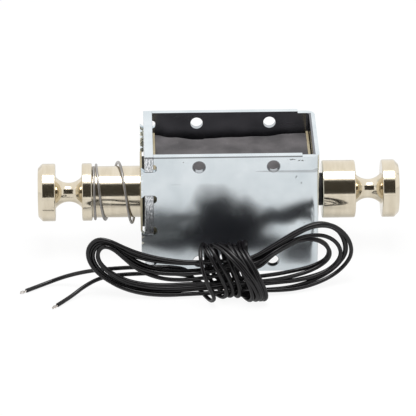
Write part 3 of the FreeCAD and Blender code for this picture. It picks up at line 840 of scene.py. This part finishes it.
@dataclass
class CoilWrap:
    """The cloth tape over the winding: it sags behind its flared ends, with a seam and creases."""

    bench: Bench
    start: float = -21.45
    end: float = 30.35
    half_depth: float = 15.1
    half_height: float = 15.8
    squareness: int = 10
    insets: tuple[float, ...] = (0.35, 0.9, 1.55, 1.3, 1.05, 1.05, 1.05, 0.5, 0.1)
    seam: float = -4.7
    seam_step: float = 0.14
    crease: float = 0.42
    settle: float = 0.1
    ripple: Pair = (0.055, 1.9)
    ripple_share: float = 0.55
    finer: Pair = (2.3, 0.5)
    fold: Point = (0.16, 2.2, 1.1)
    fold_level: float = 3.1
    fold_shares: Point = (0.25, 0.8, 1.3)
    fold_lengths: Pair = (8.0, 13.0)
    steps: int = 104
    round_steps: int = 160

    def inset_at(self, along: float) -> float:
        """How far the tape lies inside the flanges' outline at a place along the coil."""
        place = (along - self.start) / (self.end - self.start) * (len(self.insets) - 1)
        index = min(int(place), len(self.insets) - 2)
        share = eased(place - index)
        return self.insets[index] * (1 - share) + self.insets[index + 1] * share

    def outline(self, turn: float, inset: float) -> Pair:
        """A point of the rounded rectangle at an angle, pulled in by an inset."""
        across, up = math.cos(turn), math.sin(turn)
        total = abs(across) ** self.squareness + abs(up) ** self.squareness
        reach = total ** (-1 / self.squareness)
        return across * reach * (self.half_depth - inset), up * reach * (self.half_height - inset)

    def lift(self, along: float, turn: float) -> float:
        """How far the cloth stands in or out at a place: folds, ripples and the seam's step."""
        slow, wide = self.ripple
        spot = Vector((along * slow, math.cos(turn) * wide, math.sin(turn) * wide))
        scale, share = self.finer
        soft = noise.noise(spot) + share * noise.noise(spot * scale)
        first, last = self.fold_lengths
        near_start = max(0.0, (self.start + first - along) / first)
        near_end = max(0.0, (along - self.end + last) / last)
        run, slant, rise = self.fold
        spot = Vector((along * run - turn * slant, turn * rise, self.fold_level))
        plain, at_start, at_end = self.fold_shares
        folds = noise.noise(spot) * (plain + at_end * near_end + at_start * near_start)
        step = -self.seam_step if along < self.seam else 0.0
        return self.crease * (self.ripple_share * soft + folds) + step - self.settle

    def build(self) -> None:
        """Makes the tape as a closed skin between the two flanges."""
        shape = bmesh.new()
        ring = bmesh.ops.create_circle(
            shape, cap_ends=False, segments=self.round_steps, radius=1.0
        )["verts"]
        loops = [ring]
        for _ in range(self.steps):
            grown = bmesh.ops.extrude_edge_only(shape, edges=rim_edges(ring))["geom"]
            ring = [item for item in grown if isinstance(item, bmesh.types.BMVert)]
            loops.append(ring)
        for index, loop in enumerate(loops):
            along = self.start + (self.end - self.start) * index / self.steps
            inset = self.inset_at(along)
            for vert in loop:
                turn = math.atan2(vert.co.y, vert.co.x)
                across, up = self.outline(turn, inset - self.lift(along, turn))
                vert.co = metres((along, across, AXIS_HEIGHT + up))
        for loop in (loops[0], loops[-1]):
            bmesh.ops.holes_fill(shape, edges=rim_edges(loop), sides=0)
        bmesh.ops.recalc_face_normals(shape, faces=shape.faces)
        self.bench.add("coil_wrap", mesh_of(shape), Slot.TAPE)


@dataclass
class Plunger:
    """The two turned ends and the rod that joins them."""

    bench: Bench
    head: float = 9.85
    shaft: float = 8.8
    rim: float = 5.5
    neck: float = 3.25
    chamfer: float = 1.5
    lip: float = 0.3
    left_end: float = -61.5
    left_head_face: float = -55.55
    collar_start: float = -46.55
    nose_start: float = 0.7
    nose_step: float = 0.8
    nose_tip_face: float = 7.7
    nose_tip: float = 4.5
    rod: float = 2.5
    rod_grip: float = 9.0
    barrel_start: float = 35.3
    barrel_end: float = 46.6
    right_head_face: float = 55.7
    right_end: float = 61.5
    edge_round: float = 0.16
    crisp_angle: float = 24.0

    def grooved_end(self, end: float, face: float, groove_end: float, side: float) -> list[Pair]:
        """The outline of a head and its groove, from the outer end inwards.

        Args:
            end: where the head ends, along the axis.
            face: where the head's inner face is.
            groove_end: where the groove ends.
            side: 1 for the spring end, -1 for the far end.
        Returns:
            (along, radius) corners.
        """
        return [
            (end, 0.0),
            (end, self.head - self.chamfer),
            (end + side * self.chamfer, self.head),
            (face - side * self.lip, self.head),
            (face, self.head - self.lip),
            *throat(face, groove_end, self.rim, self.neck),
            (groove_end, self.head - self.lip),
            (groove_end + side * self.lip, self.head),
        ]

    def left_profile(self) -> list[Pair]:
        """The outline of the spring end."""
        return [
            *self.grooved_end(self.left_end, self.left_head_face, self.collar_start, 1.0),
            (SHOULDER - self.lip, self.head),
            (SHOULDER, self.head - self.lip),
            (SHOULDER, self.shaft),
            (self.nose_start, self.shaft),
            (self.nose_start, self.shaft - self.nose_step),
            (self.nose_tip_face, self.nose_tip),
            (self.nose_tip_face, self.rod),
            (self.nose_tip_face - self.rod_grip, self.rod),
            (self.nose_tip_face - self.rod_grip, 0.0),
        ]

    def right_profile(self) -> list[Pair]:
        """The outline of the far end."""
        end = self.grooved_end(self.right_end, self.right_head_face, self.barrel_end, -1.0)
        return [
            (self.barrel_start + self.rod_grip, 0.0),
            (self.barrel_start + self.rod_grip, self.rod),
            (self.barrel_start, self.rod),
            (self.barrel_start, self.head - self.lip),
            (self.barrel_start + self.lip, self.head),
            *reversed(end),
        ]

    def build(self) -> None:
        """Turns both ends and rounds their rims a little."""
        profiles = {"left_slug": self.left_profile(), "right_slug": self.right_profile()}
        for node, profile in profiles.items():
            shape = turned(profile)
            break_edges(shape, self.edge_round, self.crisp_angle)
            self.bench.add(node, mesh_of(shape), Slot.NICKEL, "plunger", crisp=True)

    def dress(self) -> None:
        """Gives the rod its finish."""
        self.bench.dress({"push_rod": Slot.CORE})


@dataclass
class ReturnSpring:
    """The return spring: a closed turn at the shoulder, and open turns that widen to the disc."""

    bench: Bench
    wire: float = 0.9
    disc_face: float = -26.65
    seat_gap: float = 0.1
    first_radius: float = 9.5
    flare: float = 1.65
    closed_turns: float = 1.0
    active_turns: float = 1.8
    closed_pitch: float = 0.945
    even_share: float = 0.6
    start_turn: float = 0.25
    kept_length: float = 0.39
    steps_per_turn: int = 16

    def points(self) -> list[Vector]:
        """The helix's points, in metres."""
        start = SHOULDER + self.wire / 2 + self.seat_gap
        end = self.disc_face - self.wire / 2 - self.seat_gap
        turns = self.closed_turns + self.active_turns
        open_length = end - start - self.closed_pitch * self.closed_turns
        count = round(turns * self.steps_per_turn)
        points = []
        for step in range(count + 1):
            turn = turns * step / count
            opened = min(max((turn - self.closed_turns) / self.active_turns, 0.0), 1.0)
            along = start + self.closed_pitch * min(turn, self.closed_turns)
            along += open_length * (
                self.even_share * opened + (1 - self.even_share) * eased(opened)
            )
            radius = self.first_radius + self.flare * eased(opened)
            angle = 2 * math.pi * (turn + self.start_turn)
            across, up = radius * math.cos(angle), radius * math.sin(angle)
            points.append(metres((along, across, AXIS_HEIGHT + up)))
        return points

    def build(self) -> None:
        """Makes the wire."""
        mesh = wire_mesh(self.points(), self.wire * MM, 4, 5)
        piece = self.bench.add("return_spring", mesh, Slot.SPRING)
        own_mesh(piece)


# Lead wires
# Each bend of the hank, as pairs of its inner and outer point
RIGHT_BEND = (
    ((13.0, -31.5, 8.9), (11.5, -30.5, 12.8)),
    ((16.9, -30.0, 12.5), (17.2, -29.0, 15.7)),
    ((21.1, -28.0, 13.9), (25.0, -26.5, 19.9)),
    ((25.0, -26.5, 15.3), (32.7, -25.0, 23.2)),
    ((30.8, -25.7, 15.5), (38.6, -24.0, 22.2)),
    ((33.9, -25.5, 14.6), (42.4, -23.8, 18.5)),
    ((35.8, -25.5, 13.0), (44.4, -24.0, 14.1)),
    ((36.6, -25.5, 10.9), (44.3, -24.7, 9.6)),
    ((35.6, -25.7, 8.8), (41.6, -25.7, 5.8)),
    ((32.9, -26.1, 7.2), (37.7, -27.3, 3.2)),
    ((28.9, -27.0, 6.1), (32.4, -29.8, 1.8)),
    ((23.1, -28.5, 5.6), (26.3, -32.3, 1.3)),
    ((17.9, -30.5, 5.7), (20.3, -33.6, 1.4)),
    ((10.8, -32.5, 6.0), (12.9, -34.5, 1.9)),
    ((1.2, -33.6, 5.6), (1.4, -35.2, 1.7)),
)
LEFT_BEND = (
    ((-9.1, -34.6, 5.0), (-9.1, -35.0, 1.2)),
    ((-17.9, -35.1, 4.7), (-18.2, -35.7, 1.0)),
    ((-25.2, -34.7, 4.9), (-26.3, -35.1, 1.3)),
    ((-31.2, -34.0, 5.9), (-33.3, -33.6, 2.5)),
    ((-35.8, -33.0, 7.9), (-39.2, -32.5, 5.5)),
    ((-38.8, -32.4, 9.9), (-43.1, -32.0, 9.3)),
    ((-41.0, -32.0, 12.6), (-45.0, -31.2, 13.4)),
    ((-41.2, -32.0, 15.8), (-44.6, -31.2, 17.6)),
    ((-39.4, -32.4, 18.3), (-41.5, -31.5, 20.9)),
    ((-36.2, -33.0, 17.6), (-37.3, -32.5, 20.6)),
    ((-32.4, -33.4, 13.6), (-33.0, -33.0, 18.4)),
    ((-28.2, -34.0, 9.4), (-28.3, -33.5, 16.4)),
    ((-22.9, -34.3, 7.1), (-22.9, -34.0, 14.9)),
    ((-17.5, -34.4, 6.2), (-17.5, -34.2, 13.8)),
    ((-10.1, -34.2, 6.2), (-10.1, -34.0, 12.6)),
    ((0.8, -33.4, 7.4), (0.8, -32.6, 12.6)),
)
# The section round which the leads are wrapped, as (out from the wall, up), from its top forwards
WRAP_SECTION = (
    (13.4, 18.4), (17.2, 18.7), (20.6, 17.0), (23.2, 13.9), (24.7, 10.2), (25.2, 6.6),
    (24.8, 3.4), (22.8, 1.2), (19.6, 0.74), (15.6, 0.73), (12.2, 1.6), (9.9, 4.6), (8.9, 8.8),
    (9.2, 13.0), (10.8, 16.6),
)
WRAP_MIDDLE = (17.0, 0.74)
# Its corner at the toe, and the one where the strand turns up at the back
WRAP_TOE = 6
WRAP_BACK = 11
WRAP_BACK_EASE = 1.3
# How much of a wrap's lift goes out and up, in front and behind
LIFT_EASE = 0.8
LIFT_IN_FRONT = (0.8, 0.5)
LIFT_BEHIND = (-0.2, 0.6)


@dataclass(frozen=True)
class Wrap:
    """One turn of a lead round the hank's middle.

    top, toe and back say where it is along the hank there. size scales its section, lift raises
    it over its neighbours, bow bends its front, and tuck pulls it in.
    """

    top: float
    toe: float
    back: float
    size: float = 1.0
    lift: float = 0.0
    bow: float = 0.0
    tuck: float = 0.0

    def place_at(self, step: int, following: float) -> float:
        """Where its strand is along the hank.

        Args:
            step: a corner of the section, from its top.
            following: where the next wrap's top is.
        Returns:
            The place.
        """
        if step <= WRAP_TOE:
            share = step / WRAP_TOE
            bowed = self.bow * math.sin(math.pi * share)
            smooth = eased(share)
            if self.lift:
                smooth = (math.sin(math.pi / 2 * share) + smooth) / 2
            return self.top + (self.toe - self.top) * smooth + bowed
        if step <= WRAP_BACK:
            share = ((step - WRAP_TOE) / (WRAP_BACK - WRAP_TOE)) ** WRAP_BACK_EASE
            return self.toe + (self.back - self.toe) * share
        share = (step - WRAP_BACK) / (len(WRAP_SECTION) - WRAP_BACK)
        return self.back + (following - self.back) * share

    def section_at(self, step: int) -> Pair:
        """How far out from the wall and how high its strand is at a corner of the section."""
        out, up = (
            middle + (value - middle) * self.size
            for value, middle in zip(WRAP_SECTION[step], WRAP_MIDDLE)
        )
        out -= self.tuck * math.sin(math.pi * min(step / WRAP_BACK, 1.0))
        front = self.lift * math.sin(math.pi * min(step / WRAP_TOE, 1.0)) ** LIFT_EASE
        behind = self.lift if WRAP_TOE < step < len(WRAP_SECTION) - 2 else 0.0
        out += front * LIFT_IN_FRONT[0] + behind * LIFT_BEHIND[0]
        return out, up + front * LIFT_IN_FRONT[1] + behind * LIFT_BEHIND[1]


@dataclass(frozen=True)
class LeadRoute:
    """Where one lead runs: out of the frame, into its turns, round the wraps, off as a tail."""

    letter: str
    first: int
    exit_point: Point
    exit_run: tuple[Point, ...]
    bridge: tuple[Point, ...]
    wraps: tuple[Wrap, ...]
    tail: tuple[Point, ...]
    length: float = 0.95


LEADS = (
    LeadRoute(
        letter="a",
        first=0,
        exit_point=(1.65, -17.5, 5.2),
        exit_run=(
            (0.2, -4.0, 6.45), (0.5, -8.2, 6.4), (1.3, -12.2, 5.5), (1.65, -16.0, 5.2),
            (1.65, -20.4, 5.2), (1.3, -25.4, 5.7), (3.2, -29.8, 7.4), (7.4, -32.0, 9.0),
        ),
        bridge=(
            (4.2, -30.2, 10.6), (7.0, -27.2, 9.8), (8.6, -25.2, 11.6), (8.6, -25.0, 14.9),
            (7.9, -27.4, 17.3),
        ),
        wraps=(
            Wrap(7.4, 15.0, 7.6, 0.92), Wrap(4.0, 12.4, 4.0, 0.97),
            Wrap(0.6, 6.2, 0.4, 0.94, tuck=2.8), Wrap(-3.0, 12.0, -3.0, 0.98, 0.8),
            Wrap(-6.2, -2.4, -10.2, 0.99, bow=-2.2),
        ),
        tail=(
            (-10.8, -28.6, 6.8), (-15.4, -30.8, 9.2), (-20.4, -31.4, 9.8), (-26.0, -31.0, 9.6),
            (-35.0, -29.6, 8.5), (-44.0, -28.0, 6.8), (-52.0, -25.2, 3.4), (-59.6, -26.0, 0.76),
            (-65.6, -30.5, 0.76),
        ),
    ),
    LeadRoute(
        letter="b",
        first=1,
        exit_point=(3.35, -17.5, 5.2),
        exit_run=(
            (4.8, -4.0, 6.45), (4.5, -8.2, 6.4), (3.7, -12.2, 5.5), (3.35, -16.0, 5.2),
            (3.35, -20.4, 5.2), (3.7, -25.4, 5.5), (5.6, -29.4, 7.0), (9.6, -31.2, 8.6),
        ),
        bridge=(
            (2.8, -29.8, 9.8), (5.4, -26.8, 8.8), (7.0, -24.8, 10.4), (7.0, -24.4, 13.8),
            (6.3, -26.6, 16.8),
        ),
        wraps=(
            Wrap(5.8, 14.0, 5.8, 0.93), Wrap(2.4, 10.4, 2.2), Wrap(-1.0, 13.4, -0.8, 0.98, 0.8),
            Wrap(-4.0, 4.0, -4.6, 0.95, tuck=3.2), Wrap(-5.6, 1.8, -8.4, 0.94, tuck=2.4),
        ),
        tail=(
            (-10.6, -28.8, 4.8), (-15.2, -31.4, 7.0), (-20.2, -32.1, 7.8), (-25.5, -31.9, 7.6),
            (-34.0, -31.0, 6.8), (-40.5, -30.7, 5.6), (-46.0, -32.2, 3.2), (-50.7, -35.6, 0.9),
            (-55.0, -40.6, 0.76),
        ),
    ),
)


@dataclass
class LeadHank:
    """The two black leads, wound into a loose hank that is wrapped round its middle."""

    bench: Bench
    diameter: float = 1.4
    turns: int = 3
    right_shares: tuple[float, ...] = (0.0, 0.2, 0.45, 0.66, 0.85, 1.0)
    left_shares: tuple[float, ...] = (0.42, 0.2, 0.0, 0.62, 0.82, 1.0)
    swing: float = 0.15
    swing_phase: float = 1.9
    layer: float = 0.62
    layer_sway: float = 0.3
    layer_phase: float = 0.8
    layer_slope: float = math.radians(28.0)
    wall_face: float = -17.5
    wall_clearance: float = 0.75
    floor_clearance: float = 0.73
    strands: int = 7
    strand: float = 0.22
    strand_length: float = 3.0
    strand_uneven: Point = (0.2, 2.1, 0.7)
    strand_spread: float = 0.24
    strand_flare: float = 0.9
    strand_lowest: float = 0.6
    strand_twist: float = 2.6
    strand_sink: float = 0.4
    strand_steps: int = 6

    def bend_point(self, pair: tuple[Point, Point], share: float, layer: float) -> Vector:
        """A point of one strand in a bend.

        Args:
            pair: the bend's inner and outer point there.
            share: how far out the strand lies, from 0 to 1.
            layer: how far it lies above the middle of the bundle.
        Returns:
            The point.
        """
        point = Vector(pair[0]).lerp(Vector(pair[1]), min(max(share, 0.0), 1.0))
        forward = point.y - math.cos(self.layer_slope) * layer
        point.y = min(forward, self.wall_face - self.wall_clearance)
        point.z = max(point.z + math.sin(self.layer_slope) * layer, self.floor_clearance)
        return point

    def turn_points(self, lead: LeadRoute) -> list[Vector]:
        """The loose turns of one lead, right bend first."""
        points = []
        for turn in range(self.turns):
            strand = 2 * turn + lead.first
            side = 1.0 if (turn + lead.first) % 2 else -1.0
            for bend, shares in ((RIGHT_BEND, self.right_shares), (LEFT_BEND, self.left_shares)):
                for index, pair in enumerate(bend):
                    way = 2 * math.pi * index / (len(bend) - 1)
                    sway = math.sin(way + self.swing_phase * strand)
                    share = shares[strand] + self.swing * sway
                    sway = math.cos(way + self.layer_phase * strand)
                    layer = self.layer * side * (1.0 + self.layer_sway * sway)
                    points.append(self.bend_point(pair, share, layer))
        return points

    def wrap_points(self, lead: LeadRoute) -> list[Vector]:
        """The wraps of one lead round the middle, from right to left."""
        points = []
        for wrap, following in zip(lead.wraps, (*lead.wraps[1:], None)):
            next_top = following.top if following else wrap.top
            for step in range(len(WRAP_SECTION) if following else WRAP_BACK):
                out, up = wrap.section_at(step)
                points.append(Vector((wrap.place_at(step, next_top), self.wall_face - out, up)))
        return points

    def route(self, lead: LeadRoute) -> list[Vector]:
        """Every control point of one lead, in metres."""
        points = [
            *lead.exit_run, *self.turn_points(lead), *lead.bridge, *self.wrap_points(lead),
            *lead.tail,
        ]
        return [metres(point) for point in points]

    def bare_end(self, lead: LeadRoute) -> Object:
        """The piece with the twisted bare strands at the end of one lead."""
        end = Vector(lead.tail[-1])
        forward = (end - Vector(lead.tail[-2])).normalized()
        side = forward.cross(Vector((0.0, 0.0, 1.0))).normalized()
        uneven, pace, phase = self.strand_uneven
        shape = bmesh.new()
        for index in range(self.strands):
            spread = self.strand_spread if index else 0.0
            level = 1.0 - uneven + uneven * math.sin(pace * index + phase)
            reach = self.strand_length * level
            points = []
            for step in range(self.strand_steps + 1):
                share = step / self.strand_steps
                angle = 2 * math.pi * index / self.strands + self.strand_twist * share
                away = spread * (1.0 + self.strand_flare * share * share)
                spot = end + forward * (reach * share - self.strand_sink)
                spot += side * (math.cos(angle) * away)
                spot.z = max(spot.z + math.sin(angle) * away, self.strand * self.strand_lowest)
                points.append(spot * MM)
            mesh = wire_mesh(points, self.strand * MM, 3, 2)
            shape.from_mesh(mesh)
            bpy.data.meshes.remove(mesh)
        return self.bench.add(
            f"tinned_end_{lead.letter}", mesh_of(shape), Slot.TINNED,
            name=f"bare_end_{lead.letter}",
        )

    def build(self) -> None:
        for lead in LEADS:
            name = f"lead_{lead.letter}"
            curve = wire_curve(name, self.route(lead), self.diameter * MM, 3, 4)
            curve.materials.append(self.bench.materials[Slot.INSULATION])
            piece = linked(name, curve)
            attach(piece, "housing")
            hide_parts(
                f"lead_exit_{lead.letter}", "lead_hank", f"lead_tail_{lead.letter}"
            )
            strands = self.bare_end(lead)
            LOG.info("lead %s: %d points", lead.letter, len(curve.splines[0].points))


# Studio
@dataclass(frozen=True)
class FlagSpot:
    """A soft dark ellipse of the flag; slope leans it, and depth is its share at the middle."""

    middle: Pair
    half: Pair
    slope: float
    depth: float


@dataclass
class Studio:
    """White floor, plain soft light, a dark card and a dark flag for mirrors, and the camera."""

    target: Point = (-4.0, -17.5, 24.5)
    distance: float = 1200.0
    elevation: float = math.radians(28.0)
    azimuth: float = math.radians(-1.6)
    lens: float = 308.0
    sensor: float = 36.0
    clip: Pair = (0.01, 20.0)
    floor_size: float = 2.0
    floor_tone: Colour = (0.82, 0.82, 0.82)
    floor_glow: float = 1.06
    floor_seen: float = 0.85
    floor_mirrored: float = 0.4
    card_tone: Colour = (0.075, 0.07, 0.06)
    card_angles: Pair = (math.radians(7.0), math.radians(62.0))
    card_reach: float = 0.75
    card_width: float = 1.0
    card_steps: int = 16
    # The dark flag paints a dark reflection into the front wall
    flag_tone: Colour = (0.1, 0.092, 0.102)
    flag_middle: Point = (3.0, -21.5, 16.0)
    flag_half: Pair = (32.0, 15.5)
    flag_sway: float = 2.4
    flag_sway_scale: float = 75.0
    flag_soft: Pair = (0.25, 1.7)
    flag_spots: tuple[FlagSpot, ...] = (
        FlagSpot((-0.5, 20.0), (7.5, 9.5), -0.25, 0.85),
        FlagSpot((2.6, 15.0), (13.0, 9.5), -0.1, 0.97),
        FlagSpot((1.0, 9.0), (19.0, 4.6), -0.02, 0.95),
        FlagSpot((-16.0, 19.6), (11.0, 2.3), -0.05, 0.6),
        FlagSpot((-15.0, 9.6), (12.0, 3.0), -0.1, 0.85),
        FlagSpot((22.0, 19.6), (11.0, 2.9), 0.3, 0.8),
        FlagSpot((27.0, 4.5), (6.0, 4.4), 0.0, 0.8),
    )
    lamp_place: Point = (0.0, -0.09, 0.78)
    lamp_size: Pair = (0.42, 0.38)
    lamp_watts: float = 3.2
    sky: float = 0.5

    def ray_share(self, graph: Graph, camera: float, mirror: float) -> Socket:
        """One share for rays from the camera, another for mirrored and glass rays, else zero."""
        path = graph.node("LightPath", {}).outputs
        mirrored = graph.math("MAXIMUM", path["Is Glossy Ray"], path["Is Transmission Ray"])
        seen = graph.product(path["Is Camera Ray"], camera)
        return graph.math("MAXIMUM", seen, graph.product(mirrored, mirror))

    def matt(self, graph: Graph, tone: Colour) -> Socket:
        """A matt surface of that tone."""
        return graph.node("BsdfDiffuse", {"Color": (*tone, 1.0)}).outputs[0]

    def set_up(self, name: str, shape: Shape, material: Material, for_mirrors: bool) -> None:
        """Sets up a piece of the studio.

        Args:
            name: its name.
            shape: its bmesh.
            material: its material.
            for_mirrors: whether only mirrored rays see it.
        """
        piece = linked(name, mesh_of(shape))
        piece.data.materials.append(material)
        if for_mirrors:
            piece.visible_camera = False
            piece.visible_diffuse = False
            piece.visible_shadow = False

    def build_floor(self) -> None:
        """A pale floor that keeps a soft shadow."""
        shape = bmesh.new()
        bmesh.ops.create_grid(shape, x_segments=1, y_segments=1, size=self.floor_size)
        material, graph, _ = new_material("white floor")
        glow = {"Color": WHITE, "Strength": self.floor_glow}
        white = graph.node("Emission", glow).outputs[0]
        share = self.ray_share(graph, self.floor_seen, self.floor_mirrored)
        plain = self.matt(graph, self.floor_tone)
        graph.close(graph.node("MixShader", {0: share, 1: plain, 2: white}))
        self.set_up("floor", shape, material, False)

    def build_card(self) -> None:
        """A dark curved card in front, above the camera's line, for the plunger's dark band."""
        shape = bmesh.new()
        middle = metres((0.0, 0.0, AXIS_HEIGHT))
        low, high = self.card_angles
        side = Vector((self.card_width / 2, 0.0, 0.0))
        away = Vector((0.0, -math.cos(low), math.sin(low))) * self.card_reach
        corners = [shape.verts.new(middle - side + away), shape.verts.new(middle + side + away)]
        edge = shape.edges.new(corners)
        bmesh.ops.spin(
            shape, geom=corners + [edge], cent=middle, axis=(-1.0, 0.0, 0.0), angle=high - low,
            steps=self.card_steps, use_merge=False, use_duplicate=False,
        )
        material, graph, _ = new_material("dark card")
        graph.node("OutputMaterial", {"Surface": self.matt(graph, self.card_tone)})
        self.set_up("dark_card", shape, material, True)

    def build_flag(self) -> None:
        """A soft edged dark flag close to the front wall, which only mirrors see: a painted dark
        reflection.

        It deepens the hank's blurred image in the wall to the photograph's tone.
        """
        shape = bmesh.new()
        bmesh.ops.create_grid(shape, x_segments=1, y_segments=1, size=1.0)
        across, depth, up = self.flag_middle
        for vert in shape.verts:
            offset = vert.co.x * self.flag_half[0], vert.co.y * self.flag_half[1]
            vert.co = metres((across + offset[0], depth, up + offset[1]))
        material, graph, coordinates = new_material("dark flag")
        along, _, height = graph.axes(coordinates)
        sway = graph.noise(coordinates, self.flag_sway_scale, 2.0)
        sway = graph.between(sway, *MOST_NOISE, -self.flag_sway, self.flag_sway)
        height = graph.math("ADD", height, sway)
        cover = 0.0
        for spot in self.flag_spots:
            aside = graph.math("SUBTRACT", along, spot.middle[0])
            lean = graph.math("MULTIPLY", aside, spot.slope)
            rise = graph.math("SUBTRACT", graph.math("SUBTRACT", height, spot.middle[1]), lean)
            reach = graph.ellipse((aside, spot.half[0]), (rise, spot.half[1]))
            dark = graph.between(reach, *self.flag_soft, spot.depth, 0.0)
            cover = graph.math("MAXIMUM", dark, cover)
        clear = graph.node("BsdfTransparent", {}).outputs[0]
        dark = self.matt(graph, self.flag_tone)
        graph.close(graph.node("MixShader", {0: cover, 1: clear, 2: dark}))
        self.set_up("dark_flag", shape, material, True)

    def build_light(self) -> None:
        """One broad lamp overhead and a plain white world."""
        lamp = bpy.data.lights.new("overhead", "AREA")
        lamp.shape = "RECTANGLE"
        lamp.size, lamp.size_y = self.lamp_size
        lamp.energy = self.lamp_watts
        linked("overhead", lamp).location = self.lamp_place
        world = bpy.data.worlds.new("white room")
        world.use_nodes = True
        bpy.context.scene.world = world
        graph = Graph(world.node_tree)
        lift = graph.math("ADD", self.ray_share(graph, self.sky, self.sky), self.sky)
        light = {"Color": WHITE, "Strength": lift}
        graph.close(graph.node("Background", light), "OutputWorld")

    def build_camera(self) -> None:
        """The camera at the photograph's viewing angle."""
        camera = bpy.data.cameras.new("camera")
        camera.lens = self.lens
        camera.sensor_width = self.sensor
        camera.clip_start, camera.clip_end = self.clip
        holder = linked("camera", camera)
        away = Vector((
            math.cos(self.elevation) * math.sin(self.azimuth),
            -math.cos(self.elevation) * math.cos(self.azimuth),
            math.sin(self.elevation),
        ))
        holder.location = metres(self.target) + away * self.distance * MM
        holder.rotation_euler = (-away).to_track_quat("-Z", "Y").to_euler()
        bpy.context.scene.camera = holder

    def build(self) -> None:
        """Sets up everything round the object."""
        self.build_floor()
        self.build_card()
        self.build_flag()
        self.build_light()
        self.build_camera()
        bpy.context.scene.view_settings.view_transform = "Standard"


def main() -> None:
    """Builds the studio and every sub-assembly."""
    logging.basicConfig(level=logging.INFO, format="%(message)s")
    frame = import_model()
    Studio().build()
    bench = Bench(frame)
    housing = Housing(bench)
    housing.build()
    housing.dress()
    CoilWrap(bench).build()
    plunger = Plunger(bench)
    plunger.build()
    plunger.dress()
    ReturnSpring(bench).build()
    LeadHank(bench).build()
    bpy.context.view_layer.update()


if __name__ == "__main__":
    main()
